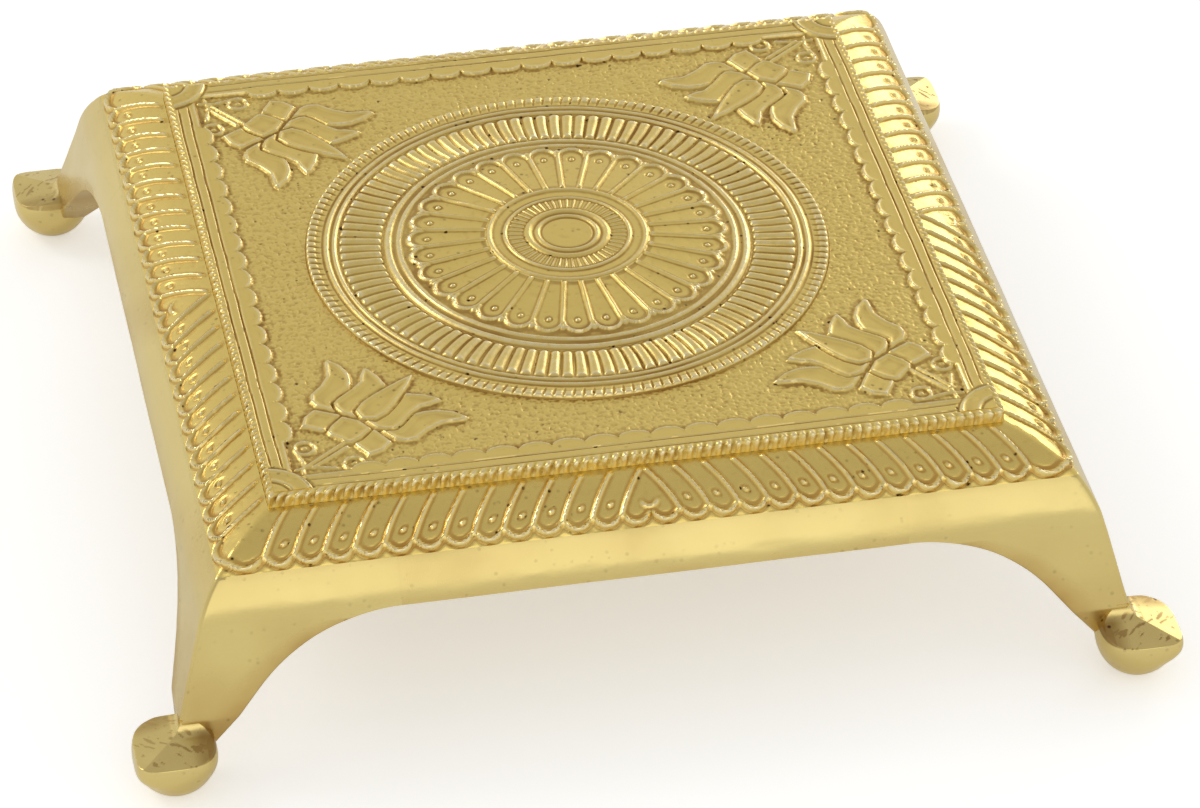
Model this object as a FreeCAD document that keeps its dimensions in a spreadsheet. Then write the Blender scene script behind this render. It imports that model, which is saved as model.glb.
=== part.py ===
import FreeCAD, Part
import Sketcher
import math
import os

# Low brass table (bajot): a carved square panel let into a bordered frame that stands on four corner
# legs with ball feet. Millimetres, +Z up, the floor at zero, the front towards -Y, centred in plan.

os.makedirs("parts", exist_ok=True)
doc = FreeCAD.newDocument("bajot")

# Driving sizes. A half is measured from the middle of the table, a reach outwards from the edge before
# it, an inset inwards from the panel's edge, a fall or a drop downwards and a rise or a lift upwards.
SIZES = (
    ("table_height", 60.0),
    ("overrun", 2.0),
    ("bite", 0.3),
    ("panel_half", 89.0),
    ("panel_plate", 5.0),
    ("panel_fit", 0.2),
    ("groove_inset", 2.4),
    ("groove_pitch", 2.6),
    ("groove_width", 0.6),
    ("groove_depth", 0.5),
    ("ground_inset", 7.1),
    ("ground_depth", 0.6),
    ("scallop_inset", 21.0),
    ("scallop_count", 17),
    ("scallop_fall", 2.6),
    ("mandala_radius", 65.0),
    ("mandala_rise", 3.3),
    ("petal_count", 31),
    ("petal_rib", 0.8),
    ("flute_count", 104),
    ("flute_width", 1.7),
    ("flute_crest", 0.6),
    ("lotus_inset", 27.5),
    ("lotus_length", 15.5),
    ("lotus_width", 7.4),
    ("lotus_turn", 38.0),
    ("lotus_lift", 0.6),
    ("stem_width", 2.2),
    ("stem_length", 12.0),
    ("rim_drop", 3.2),
    ("border_reach", 13.4),
    ("border_fall", 6.2),
    ("border_round", 32.0),
    ("apron_reach", 6.5),
    ("apron_fall", 11.2),
    ("apron_round", 25.0),
    ("apron_wall", 5.1),
    ("seam_fall", 1.0),
    ("ledge_width", 5.0),
    ("ledge_plate", 4.2),
    ("shoulder_wall", 5.6),
    ("shoulder_fall", 4.4),
    ("arch_half", 61.0),
    ("arch_round", 45.0),
    ("arch_lean", 50.0),
    ("ankle_reach", 6.1),
    ("ankle_rise", 7.4),
    ("cove_reach", 3.0),
    ("cove_fall", 1.2),
    ("cove_round", 4.5),
    ("crease_reach", 11.6),
    ("crease_rise", 2.4),
    ("ball_radius", 10.0),
    ("ball_reach", 1.6),
    ("ball_flats", 6),
    ("sole_sink", 0.4),
    ("heel_reach", 8.3),
    ("heel_lean", 35.0),
)

sheet = doc.addObject("Spreadsheet::Sheet", "Sizes")
for row, (alias, number) in enumerate(SIZES, start=1):
    sheet.set(f"A{row}", alias)
    sheet.set(f"B{row}", str(number))
    sheet.setAlias(f"B{row}", alias)
doc.recompute()
ALIASES = {alias for alias, _ in SIZES}

# Places that several pieces share, worked out from the sizes.
RIM_HALF = "( panel_half + panel_fit )"
BORDER_HALF = "( panel_half + panel_fit + border_reach )"
APRON_HALF = "( panel_half + panel_fit + border_reach + apron_reach )"
ANKLE_HALF = "( panel_half + panel_fit + border_reach + apron_reach + ankle_reach )"
CREASE_HALF = f"( {ANKLE_HALF} + crease_reach )"
BALL_HALF = f"( {ANKLE_HALF} + ball_reach )"
PLATE_UP = "( table_height - panel_plate )"
RIM_UP = "( table_height - rim_drop )"
BORDER_UP = "( table_height - rim_drop - border_fall )"
SEAM_UP = "( table_height - rim_drop - border_fall - seam_fall )"
APRON_UP = "( table_height - rim_drop - border_fall - apron_fall )"
BALL_UP = "( ball_radius - sole_sink )"
ANKLE_UP = "( ball_radius - sole_sink + ankle_rise )"


def named(text):
    """An expression in plain sizes, as another object of the document has to write it."""
    words = []
    for word in text.split():
        words.append(f"Sizes.{word}" if word in ALIASES else word)
    return " ".join(words)


def measure(text):
    """The number that such an expression comes to."""
    found = sheet.evalExpression(text)
    return float(getattr(found, "Value", found))


def follow(item, **texts):
    """Tie properties of an object to the sheet. Two underscores stand for a dot."""
    for name, text in texts.items():
        item.setExpression(name.replace("__", "."), named(text))
    return item


def origin_part(body, role):
    """One of the planes or axes that a body brings with it."""
    return next(part for part in body.Origin.OriginFeatures if part.Role == role)


def arc_between(start, end, radius, side):
    """The shorter arc from start to end, its centre to the left or right of the way."""
    middle = (start + end) / 2
    chord = end - start
    away = math.sqrt(max(radius ** 2 - (chord.Length / 2) ** 2, 0))
    left = FreeCAD.Vector(-chord.y, chord.x, 0).normalize()
    centre = middle + left * (away if side == "left" else -away)
    first, last = (start, end) if side == "left" else (end, start)
    angles = [math.atan2(point.y - centre.y, point.x - centre.x) for point in (first, last)]
    return Part.ArcOfCircle(Part.Circle(centre, FreeCAD.Vector(0, 0, 1), radius), *angles)


def end_at(sketch, index, point):
    """Which end of a curve of the sketch lies at a point: a stored arc may run backwards."""
    curve = sketch.Geometry[index]
    return 1 if (curve.StartPoint - point).Length < (curve.EndPoint - point).Length else 2


def close_loop(sketch, corners):
    """Add a closed loop through corners (across, up), in plain sizes, and tie it to the sheet. A corner
    that holds a radius and a side too is reached by an arc with its centre on that side of the way."""
    first = len(sketch.Geometry)
    count = len(corners)
    points = [FreeCAD.Vector(measure(corner[0]), measure(corner[1]), 0) for corner in corners]
    for index in range(count):
        after = (index + 1) % count
        start, end = points[index], points[after]
        if len(corners[after]) == 2:
            sketch.addGeometry(Part.LineSegment(start, end))
        else:
            sketch.addGeometry(arc_between(start, end, measure(corners[after][2]), corners[after][3]))
    constraints = []
    texts = []
    for index, corner in enumerate(corners):
        before = (index - 1) % count
        here = end_at(sketch, first + index, points[index])
        arrived = end_at(sketch, first + before, points[index])
        constraints.append(Sketcher.Constraint("Coincident", first + before, arrived, first + index, here))
        texts.append(None)
        point = points[index]
        for kind, text, size in (("DistanceX", corner[0], point.x), ("DistanceY", corner[1], point.y)):
            constraints.append(Sketcher.Constraint(kind, -1, 1, first + index, here, size))
            texts.append(text)
        if len(corner) > 2:
            constraints.append(Sketcher.Constraint("Radius", first + before, measure(corner[2])))
            texts.append(corner[2])
    numbers = sketch.addConstraint(constraints)
    for number, text in zip(numbers, texts):
        if text is not None:
            sketch.setExpression(f"Constraints[{number}]", named(text))


def outline(body, name, role, loops, level=None):
    """A sketch of closed loops on one of the body's planes, lifted to a level where one is given."""
    sketch = body.newObject("Sketcher::SketchObject", name)
    sketch.AttachmentSupport = [(origin_part(body, role), "")]
    sketch.MapMode = "FlatFace"
    if level is not None:
        follow(sketch, AttachmentOffset__Base__z=level)
    for corners in loops:
        close_loop(sketch, corners)
    return sketch


def raise_up(body, name, loops, level, lift):
    """Metal added on a sketch of closed loops at a level."""
    pad = body.newObject("PartDesign::Pad", name)
    pad.Profile = outline(body, name + "_outline", "XY_Plane", loops, level)
    pad.Refine = False
    return follow(pad, Length=lift)


def sink(body, name, loops, level, depth):
    """Metal cut away below a sketch of closed loops at a level."""
    pocket = body.newObject("PartDesign::Pocket", name)
    pocket.Profile = outline(body, name + "_outline", "XY_Plane", loops, level)
    pocket.Refine = False
    return follow(pocket, Length=depth)


def turn_round(body, name, corners):
    """A form turned about the body's upright axis."""
    turned = body.newObject("PartDesign::Revolution", name)
    turned.Profile = outline(body, name + "_outline", "XZ_Plane", [corners])
    turned.ReferenceAxis = (turned.Profile[0], ["V_Axis"])
    turned.Angle = 360
    return turned


def all_round(body, name, features, count):
    """The features repeated round the middle of the table."""
    pattern = body.newObject("PartDesign::PolarPattern", name)
    pattern.Originals = features
    pattern.Axis = (origin_part(body, "Z_Axis"), [""])
    pattern.Angle = 360
    follow(pattern, Occurrences=count)
    body.Tip = pattern
    return pattern


def rows_on_four_sides(body, name, features, length, count):
    """The features repeated along the back side, then on all four sides."""
    pattern = body.newObject("PartDesign::MultiTransform", name)
    row = body.newObject("PartDesign::LinearPattern", name + "_row")
    row.Direction = (origin_part(body, "X_Axis"), [""])
    follow(row, Length=length, Occurrences=count)
    turns = body.newObject("PartDesign::PolarPattern", name + "_turns")
    turns.Axis = (origin_part(body, "Z_Axis"), [""])
    turns.Angle = 360
    turns.Occurrences = 4
    pattern.Originals = features
    pattern.Transformations = [row, turns]
    body.Tip = pattern
    return pattern


def prism(name, role, corners):
    """The outline carried right across the table, as far each way from its middle."""
    body = doc.addObject("PartDesign::Body", name)
    sketch = outline(body, name + "_outline", role, [corners])
    pad = body.newObject("PartDesign::Pad", name + "_pad")
    pad.Profile = sketch
    pad.Midplane = True
    follow(pad, Length=f"2 * ( {CREASE_HALF} + overrun )")
    return body


def joined(kind, name, base, tool):
    """What two solids share (Common), add up to (Fuse) or leave of the first (Cut)."""
    item = doc.addObject("Part::" + kind, name)
    item.Base = base
    item.Tool = tool
    return item


def crossed(name, corners):
    """What two prisms of one outline share, one along each way of the table: four mitred sides."""
    across = prism(name + "_across", "XZ_Plane", corners)
    along = prism(name + "_along", "YZ_Plane", corners)
    return joined("Common", name, across, along)


def both_sides(right_side):
    """An outline that runs down the right side, closed with its mirror image on the left."""
    left_side = []
    for index in reversed(range(len(right_side))):
        across, up = right_side[index][:2]
        arrives = right_side[index + 1][2:] if index + 1 < len(right_side) else ()
        left_side.append((f"-1 * ( {across} )", up) + tuple(arrives))
    return list(right_side) + left_side


def cut(name, base, tools):
    """The base less each tool in turn."""
    for number, tool in enumerate(tools, start=1):
        base = joined("Cut", f"{name}_{number}", base, tool)
    return base


def box(name, low, size):
    """A box from its lowest corner and its three sizes, in plain sizes."""
    item = doc.addObject("Part::Box", name)
    follow(item, Length=size[0], Width=size[1], Height=size[2])
    follow(item, Placement__Base__x=low[0], Placement__Base__y=low[1], Placement__Base__z=low[2])
    return item


def mirrored(name, source, normal):
    item = doc.addObject("Part::Mirroring", name)
    item.Source = source
    item.Normal = normal
    return item


def square(half):
    """The corners of a square about the middle of the table."""
    low = f"-1 * ( {half} )"
    return [(low, low), (half, low), (half, half), (low, half)]


# Frame and legs start as one hollow skirt. Outside, a rounded border falls from the panel's rim, then a
# rounded apron, then the straight outer faces of the legs.
skirt = crossed("skirt", both_sides([
    (RIM_HALF, RIM_UP),
    (BORDER_HALF, BORDER_UP, "border_round", "right"),
    (APRON_HALF, APRON_UP, "apron_round", "right"),
    (ANKLE_HALF, ANKLE_UP),
    (ANKLE_HALF, BALL_UP),
]))

# The hollow under the panel: a ledge carries the plate, and the walls lean out below it.
LEDGE_HALF = "( panel_half - ledge_width )"
LEDGE_UNDER = f"( {PLATE_UP} - ledge_plate )"
HOLLOW_HALF = f"( {APRON_HALF} - apron_wall )"
hollow = crossed("hollow", both_sides([
    (LEDGE_HALF, f"{PLATE_UP} + overrun"),
    (LEDGE_HALF, LEDGE_UNDER),
    (f"{BORDER_HALF} - shoulder_wall", f"{LEDGE_UNDER} - shoulder_fall"),
    (HOLLOW_HALF, APRON_UP),
    (HOLLOW_HALF, "-1 * overrun"),
]))

# The arch between two legs: straight in the middle, rounded at the shoulders, then leaning outwards.
ARC_HALF = "( arch_half + arch_round * sin( arch_lean * 1deg ) )"
ARC_UP = f"( {APRON_UP} - arch_round * ( 1 - cos( arch_lean * 1deg ) ) )"
ARCH_FOOT = f"( {ARC_HALF} + ( {ARC_UP} - {BALL_UP} ) / tan( arch_lean * 1deg ) )"
arch_outline = both_sides([
    ("arch_half", APRON_UP),
    (ARC_HALF, ARC_UP, "arch_round", "right"),
    (ARCH_FOOT, BALL_UP),
    (ARCH_FOOT, "-1 * overrun"),
])
arches = [prism("arch_across", "XZ_Plane", arch_outline), prism("arch_along", "YZ_Plane", arch_outline)]
rabbet = box("rabbet", (f"-1 * {RIM_HALF}", f"-1 * {RIM_HALF}", PLATE_UP),
             (f"2 * {RIM_HALF}", f"2 * {RIM_HALF}", "panel_plate + overrun"))
shell = cut("shell", skirt, [hollow, *arches, rabbet])

# A leg is the part of the shell beside and below one corner of the border; the straight strips of the
# apron between the legs stay with the border.
CORNER_SIDE = f"{CREASE_HALF} + overrun - arch_half"


def corner_box(name, across, along):
    """The room that a leg fills, at the corner that the two signs name."""
    low = ["arch_half" if sign > 0 else f"-1 * ( {CREASE_HALF} + overrun )" for sign in (across, along)]
    return box(name, (low[0], low[1], "-1 * overrun"), (CORNER_SIDE, CORNER_SIDE, f"{SEAM_UP} + overrun"))


leg_blank = joined("Common", "leg_blank", shell, corner_box("leg_room", 1, 1))

# Inside, the ankle is cut away on the slant so that it lands on the ball.
HEEL_AT = f"( {BALL_HALF} * sqrt( 2 ) - heel_reach )"
HEEL_TALL = f"( {APRON_UP} - {BALL_UP} )"
heel = prism("heel", "XZ_Plane", [
    ("0", "-1 * overrun"),
    (HEEL_AT, "-1 * overrun"),
    (HEEL_AT, BALL_UP),
    (f"{HEEL_AT} - {HEEL_TALL} / tan( heel_lean * 1deg )", f"{BALL_UP} + {HEEL_TALL}"),
    ("0", f"{BALL_UP} + {HEEL_TALL}"),
])
heel.Placement = FreeCAD.Placement(FreeCAD.Vector(), FreeCAD.Rotation(FreeCAD.Vector(0, 0, 1), 45))
ankle = cut("ankle", leg_blank, [heel])

# The ball foot stands out from the corner. Two sloping facets cut its top, one on each outer side, and
# each ends in a crisp crease.
flare = crossed("flare", both_sides([
    (ANKLE_HALF, ANKLE_UP),
    (f"{ANKLE_HALF} + cove_reach", f"{ANKLE_UP} - cove_fall", "cove_round", "left"),
    (CREASE_HALF, f"{BALL_UP} + crease_rise"),
    (f"{CREASE_HALF} + overrun", f"{BALL_UP} + crease_rise"),
    (f"{CREASE_HALF} + overrun", "0"),
]))
ball_side = [("0", "-1 * ball_radius")]
for turn in range(1, round(measure("ball_flats"))):
    down_to = f"( {turn} * 180deg / ball_flats )"
    ball_side.append((f"ball_radius * sin( {down_to} )", f"-1 * ball_radius * cos( {down_to} )"))
ball_side.append(("0", "ball_radius"))
ball = doc.addObject("PartDesign::Body", "ball")
turn_round(ball, "ball_turned", ball_side)
follow(ball, Placement__Base__x=BALL_HALF, Placement__Base__y=BALL_HALF, Placement__Base__z=BALL_UP)
foot = joined("Common", "foot", ball, flare)
leg_back_right = joined("Fuse", "leg_back_right", ankle, foot)
leg_front_right = mirrored("leg_front_right", leg_back_right, FreeCAD.Vector(0, 1, 0))
leg_back_left = mirrored("leg_back_left", leg_back_right, FreeCAD.Vector(1, 0, 0))
leg_front_left = mirrored("leg_front_left", leg_front_right, FreeCAD.Vector(1, 0, 0))

# The border frame is what is left of the shell, notched at each corner for a leg's shoulders.
border_frame = cut("border_frame", shell, [
    corner_box("notch_back_right", 1, 1),
    corner_box("notch_front_right", 1, -1),
    corner_box("notch_back_left", -1, 1),
    corner_box("notch_front_left", -1, -1),
])

# The carved panel: a square plate with two engraved lines and a sunk ground.
carved_plate = doc.addObject("PartDesign::Body", "carved_plate")
raise_up(carved_plate, "plate", [square("panel_half")], PLATE_UP, "panel_plate")
for line in (0, 1):
    middle = f"panel_half - groove_inset - {line} * groove_pitch"
    sides = [square(f"{middle} + groove_width / 2"), square(f"{middle} - groove_width / 2")]
    sink(carved_plate, f"engraved_line_{line + 1}", sides, "table_height", "groove_depth")
GROUND_HALF = "( panel_half - ground_inset )"
SCALLOP_HALF = "( panel_half - scallop_inset )"
SCALLOP = f"( 2 * {SCALLOP_HALF} / scallop_count )"
SCALLOP_SHARES = ((0.04, 0.3), (0.30, 1.0), (0.70, 1.0), (0.96, 0.3))
GROUND_UP = "table_height - ground_depth"
sink(carved_plate, "ground", [square(GROUND_HALF)], "table_height", "ground_depth")

# A lotus in each corner: five pointed petals that open towards the middle, and a stem of two bars. Each
# pair is a share of a petal's width and of its length.
LOTUS_SHARES = ((0.0, -0.15), (0.30, 0.12), (0.5, 0.5), (0.30, 0.80), (0.0, 1.0))
LOTUS_FOOT = "( panel_half - lotus_inset / sqrt( 2 ) )"


def lotus_petal(turn):
    """A pointed petal whose foot is on the corner's diagonal, turned from the way to the middle."""
    angle = f"( 225deg + {turn} * lotus_turn * 1deg )"
    sides = [(f"{wide_share} * lotus_width", f"{far_share} * lotus_length")
             for wide_share, far_share in LOTUS_SHARES]
    sides += [(f"-1 * {wide}", far) for wide, far in sides[-2:0:-1]]
    return [(f"{LOTUS_FOOT} + {far} * cos( {angle} ) - {wide} * sin( {angle} )",
             f"{LOTUS_FOOT} + {far} * sin( {angle} ) + {wide} * cos( {angle} )") for wide, far in sides]


def stem_bar(side):
    """One of the two bars beside the diagonal, from the lotus out to the corner."""
    near = f"( {LOTUS_FOOT} + stem_width )"
    far = f"( {LOTUS_FOOT} + stem_width + stem_length / sqrt( 2 ) )"
    inner = f"( {side} * 0.15 * stem_width )"
    outer = f"( {side} * 0.65 * stem_width )"
    return [(f"{near} - {inner}", f"{near} + {inner}"), (f"{far} - {inner}", f"{far} + {inner}"),
            (f"{far} - {outer}", f"{far} + {outer}"), (f"{near} - {outer}", f"{near} + {outer}")]


lotus_outlines = [lotus_petal(turn) for turn in (-2, -1, 0, 1, 2)] + [stem_bar(side) for side in (-1, 1)]
lotus = [raise_up(carved_plate, f"lotus_{number}", [corners], f"{GROUND_UP} - bite", "lotus_lift + bite")
         for number, corners in enumerate(lotus_outlines, start=1)]
all_round(carved_plate, "lotuses", lotus, "4")

# The smooth band reaches into the ground with a row of rounded lobes on each side.
lobe = [(f"{across_share} * {SCALLOP} - {SCALLOP_HALF}", f"{GROUND_HALF} - {fall_share} * scallop_fall")
        for across_share, fall_share in SCALLOP_SHARES]
lobe += [(lobe[-1][0], f"{GROUND_HALF} + bite"), (lobe[0][0], f"{GROUND_HALF} + bite")]
scallop = raise_up(carved_plate, "scallop", [lobe], f"{GROUND_UP} - bite", "ground_depth + bite")
rows_on_four_sides(carved_plate, "scallops", [scallop], f"2 * {SCALLOP_HALF} - {SCALLOP}", "scallop_count")

# The mandala is a low dome that rises to its middle. Each pair is a share of its radius and of its full
# rise, from the outer ring inwards: a notched ring, two fine ridges, the flutes' bed, two ridges, the
# petals' sloping bed, a ridge, a band, a ridge, a hatched ring, a double ridge and the middle disc.
RING_SHARES = (
    (1.000, 0.12), (0.942, 0.12), (0.920, 0.21), (0.905, 0.06), (0.891, 0.21), (0.877, 0.0),
    (0.706, 0.0), (0.685, 0.27), (0.665, 0.15), (0.645, 0.36), (0.630, 0.27), (0.314, 0.74),
    (0.304, 0.90), (0.292, 0.90), (0.286, 0.80), (0.249, 0.80), (0.238, 0.93), (0.229, 0.83),
    (0.168, 0.83), (0.158, 1.0), (0.140, 1.0), (0.129, 0.85), (0.118, 1.0), (0.107, 1.0),
    (0.101, 0.88),
)
FLUTE_BED_SHARES = (0.875, 0.708)
PETAL_BED_SHARES = (0.613, 0.314)
PETAL_CREST_SHARES = (0.50, 0.86)
rings = [("0", f"{GROUND_UP} - bite"), ("mandala_radius", f"{GROUND_UP} - bite")]
for radius_share, rise_share in RING_SHARES:
    rings.append((f"{radius_share} * mandala_radius", f"table_height + {rise_share} * mandala_rise"))
rings.append(("0", rings[-1][1]))
mandala = doc.addObject("PartDesign::Body", "mandala")
turn_round(mandala, "rings", rings)

# Petals: upright rims with rounded ends that run into each other, cut off above along the dome's slope.
PETAL_IN = f"( {PETAL_BED_SHARES[1]} * mandala_radius )"
PETAL_OUT = f"( {PETAL_BED_SHARES[0]} * mandala_radius )"
PETAL_SIN = "sin( 180deg / petal_count )"
PETAL_ROUND = f"( 1.1 * {PETAL_OUT} * {PETAL_SIN} / ( 1 + 1.1 * {PETAL_SIN} ) )"
PETAL_END_SHARES = ((1.0, 0.1), (0.72, 0.72), (0.0, 1.0))


def petal(inset):
    """A petal that points away from the middle, drawn in from its edge by an inset."""
    half = f"( {PETAL_IN} * {PETAL_SIN} + bite - {inset} )"
    near = f"{PETAL_IN} - bite + {inset}"
    reach = f"( {PETAL_ROUND} - {inset} )"
    end = [(f"{wide_share} * {reach}", f"{PETAL_OUT} - {PETAL_ROUND} + {far_share} * {reach}")
           for wide_share, far_share in PETAL_END_SHARES]
    return [(f"-1 * {half}", near), (half, near)] + end + [(f"-1 * {wide}", up) for wide, up in end[-2::-1]]


petal_rims = doc.addObject("PartDesign::Body", "petal_rims")
rim = raise_up(petal_rims, "petal_rim", [petal("0"), petal("petal_rib")], "table_height", "mandala_rise")
all_round(petal_rims, "petal_rims_round", [rim], "petal_count")
petal_slope = doc.addObject("PartDesign::Body", "petal_slope")
crests = [f"table_height + {share} * mandala_rise" for share in PETAL_CREST_SHARES]
turn_round(petal_slope, "petal_slope_turned", [
    (f"{PETAL_IN} - 2 * bite", "table_height - bite"),
    (f"{PETAL_OUT} + 2 * bite", "table_height - bite"),
    (f"{PETAL_OUT} + 2 * bite", crests[0]),
    (f"{PETAL_IN} - 2 * bite", crests[1]),
])
petals = joined("Common", "petals", petal_rims, petal_slope)

# Flutes: narrow bars that widen outwards and stop short of the ridges.
FLUTE_IN = f"( {FLUTE_BED_SHARES[1]} * mandala_radius + bite )"
FLUTE_OUT = f"( {FLUTE_BED_SHARES[0]} * mandala_radius - bite )"
FLUTE_NEAR = f"( flute_width / 2 * {FLUTE_BED_SHARES[1]} )"
flute = raise_up(mandala, "flute", [[
    (f"-1 * {FLUTE_NEAR}", FLUTE_IN),
    (FLUTE_NEAR, FLUTE_IN),
    ("flute_width / 2", FLUTE_OUT),
    ("-1 * flute_width / 2", FLUTE_OUT),
]], "table_height - bite", "flute_crest + bite")
all_round(mandala, "flutes", [flute], "flute_count")
domed_mandala = joined("Fuse", "domed_mandala", mandala, petals)
top_panel = joined("Fuse", "top_panel", carved_plate, domed_mandala)
doc.recompute()

parts = {
    "top_panel": top_panel,
    "border_frame": border_frame,
    "leg_front_left": leg_front_left,
    "leg_front_right": leg_front_right,
    "leg_back_left": leg_back_left,
    "leg_back_right": leg_back_right,
}
for item in doc.Objects:
    if "Invalid" in item.State or "Error" in item.State:
        raise SystemExit(f"{item.Name} could not be built")
for label, item in parts.items():
    item.Label = label
    shape = item.Shape
    if shape.isNull() or not shape.isValid() or len(shape.Solids) != 1:
        raise SystemExit(f"{label} is not one sound solid")
    shape.exportStep(f"parts/{label}.step")
    print(label, round(shape.Volume), len(shape.Faces), shape.BoundBox)
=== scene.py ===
import math
from collections import namedtuple

import bmesh
import bpy
import numpy as np
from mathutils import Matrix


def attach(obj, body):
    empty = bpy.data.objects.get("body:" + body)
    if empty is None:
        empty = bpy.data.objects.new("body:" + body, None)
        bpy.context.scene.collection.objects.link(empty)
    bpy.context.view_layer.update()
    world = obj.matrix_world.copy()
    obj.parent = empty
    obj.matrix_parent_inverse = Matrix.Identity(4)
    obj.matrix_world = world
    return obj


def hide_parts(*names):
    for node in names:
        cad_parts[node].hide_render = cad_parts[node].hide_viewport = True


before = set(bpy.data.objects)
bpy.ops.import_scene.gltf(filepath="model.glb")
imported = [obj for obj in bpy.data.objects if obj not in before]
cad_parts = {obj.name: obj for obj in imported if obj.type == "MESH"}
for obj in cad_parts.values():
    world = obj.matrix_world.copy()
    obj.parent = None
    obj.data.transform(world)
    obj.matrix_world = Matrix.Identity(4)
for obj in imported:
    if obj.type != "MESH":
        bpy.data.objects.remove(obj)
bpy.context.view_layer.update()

# Shapes are worked out in millimetres, with the floor at zero and the front towards -Y.
MM = 0.001
# The level of the panel's flat, half the panel's width, the level of its underside, and the level at which
# the walls of the relief pieces end inside the plate.
FLAT = 60.0
PANEL = 89.0
PLATE_UNDER = 55.0
WALL_FOOT = PLATE_UNDER + 0.5
# Points down the outer skin, each half the width there and its level.
RIM = (89.03, 56.85)
HEM = (102.6, 50.6)
ARCH_TOP = (109.1, 39.4)
ANKLE = (115.2, 17.0)
# The level of the seam under the border, and half the length of the straight strips of apron.
SEAM = 49.6
ARCH_HALF = 61.0
# A ball foot's middle, across and along alike, the middle's level, and its radius.
BALL = (116.8, 9.6, 10.0)
TURN = 2 * math.pi
SHARP_EDGE = math.radians(48)


# Shapes as whole arrays.

def bump(distance, half_width):
    """A rounded ridge across a line: (1 - (distance / half width) squared) squared, and nothing beyond."""
    return np.clip(1 - (distance / half_width) ** 2, 0, None) ** 2


def ease(value, start, end):
    """A soft step from 0 at start to 1 at end: 3 s squared less 2 s cubed."""
    share = np.clip((value - start) / (end - start), 0, 1)
    return share * share * (3 - 2 * share)


def mottle(across, along, size, seed):
    """Smooth random unevenness, -1 to 1: random values on a square lattice of that size, eased between."""
    lattice = np.random.default_rng(seed).uniform(-1, 1, (256, 256))
    a, b = across / size + 128.37, along / size + 128.71
    i, j = np.floor(a).astype(int), np.floor(b).astype(int)
    u, v = ease(a - i, 0, 1), ease(b - j, 0, 1)
    i0, j0, i1, j1 = i % 256, j % 256, (i + 1) % 256, (j + 1) % 256
    near = lattice[i0, j0] * (1 - u) + lattice[i1, j0] * u
    far = lattice[i0, j1] * (1 - u) + lattice[i1, j1] * u
    return near * (1 - v) + far * v


def hollowness(height, reach, closed):
    """How far a point lies below its surroundings: the mean of shifted copies of the height, less itself."""
    total = np.zeros_like(height)
    count = 0
    for i in reach:
        for j in reach:
            pad = ((0, 0) if closed[0] else (abs(i), abs(i)), (0, 0) if closed[1] else (abs(j), abs(j)))
            wide = np.roll(np.pad(height, pad, mode="edge"), (i, j), axis=(0, 1))
            total += wide[pad[0][0]:wide.shape[0] - pad[0][1], pad[1][0]:wide.shape[1] - pad[1][1]]
            count += 1
    return total / count - height


def quads(rows, columns, close_rows, close_columns):
    """The four corners of each face of a grid, wrapped round where a way is closed."""
    index = np.arange(rows * columns).reshape(rows, columns)
    if close_rows:
        index = np.vstack([index, index[:1]])
    if close_columns:
        index = np.hstack([index, index[:, :1]])
    return np.stack([index[:-1, :-1], index[1:, :-1], index[1:, 1:], index[:-1, 1:]], -1).reshape(-1, 4)


def arc(start, end, radius, count):
    """Points from start to end on the shorter arc with its centre to the right of the way."""
    start, end = np.array(start, float), np.array(end, float)
    way = end - start
    chord = np.hypot(*way)
    right = np.array([way[1], -way[0]]) / chord
    centre = (start + end) / 2 + right * math.sqrt(radius ** 2 - (chord / 2) ** 2)
    first, last = (math.atan2(*(point - centre)[::-1]) for point in (start, end))
    angle = np.linspace(first, last, count)
    return centre + radius * np.stack([np.cos(angle), np.sin(angle)], -1)


def outward(profile):
    """Unit normals to the left of a profile's way, from the differences between neighbouring points."""
    way = np.gradient(profile, axis=0)
    way /= np.hypot(way[:, 0], way[:, 1])[:, None]
    return np.stack([-way[:, 1], way[:, 0]], -1)


SquarePath = namedtuple("SquarePath", "shares swings places sides round_by")


def quarter_turns(count):
    """The cosine and the sine of that many quarter turns, as whole numbers."""
    return round(math.cos(count * math.pi / 2)), round(math.sin(count * math.pi / 2))


def square_path(side_count, corner_count, round_by):
    """A square path round the table with rounded corners: for each point the sign-bearing share of the half
    along and across, the corner's swing, the place along its side from -1 to 1, and the side, 0 in front."""
    along = np.linspace(-1, 1, side_count)
    angle = np.linspace(0, math.pi / 2, corner_count + 2)[1:-1]
    place = np.concatenate([along, np.ones(corner_count)])
    share = np.concatenate([np.stack([along, -np.ones(side_count)], -1),
                            np.tile([1.0, -1.0], (corner_count, 1))])
    swing = np.concatenate([np.tile([0.0, -1.0], (side_count, 1)),
                            np.stack([np.sin(angle), -np.cos(angle)], -1)])
    shares, swings, places, sides = [], [], [], []
    for side in range(4):
        c, s = quarter_turns(side)
        turn = np.array([[c, s], [-s, c]])
        shares.append(share @ turn)
        swings.append(swing @ turn)
        places.append(place)
        sides.append(np.full(len(place), side))
    return SquarePath(np.concatenate(shares), np.concatenate(swings) * round_by,
                      np.concatenate(places), np.concatenate(sides), round_by)


def round_square(path, half, height):
    """A profile carried round the square path: half and height are arrays (points of the path, profile).
    A point is the share of (half - rounding) plus the swing of the rounded corner."""
    xy = path.shares[:, None, :] * (half - path.round_by)[..., None] + path.swings[:, None, :]
    return np.concatenate([xy, height[..., None]], -1)


# Meshes.

def add_object(name, data):
    """A new object in the scene for this mesh, lamp or camera."""
    made = bpy.data.objects.new(name, data)
    bpy.context.scene.collection.objects.link(made)
    return made


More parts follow.
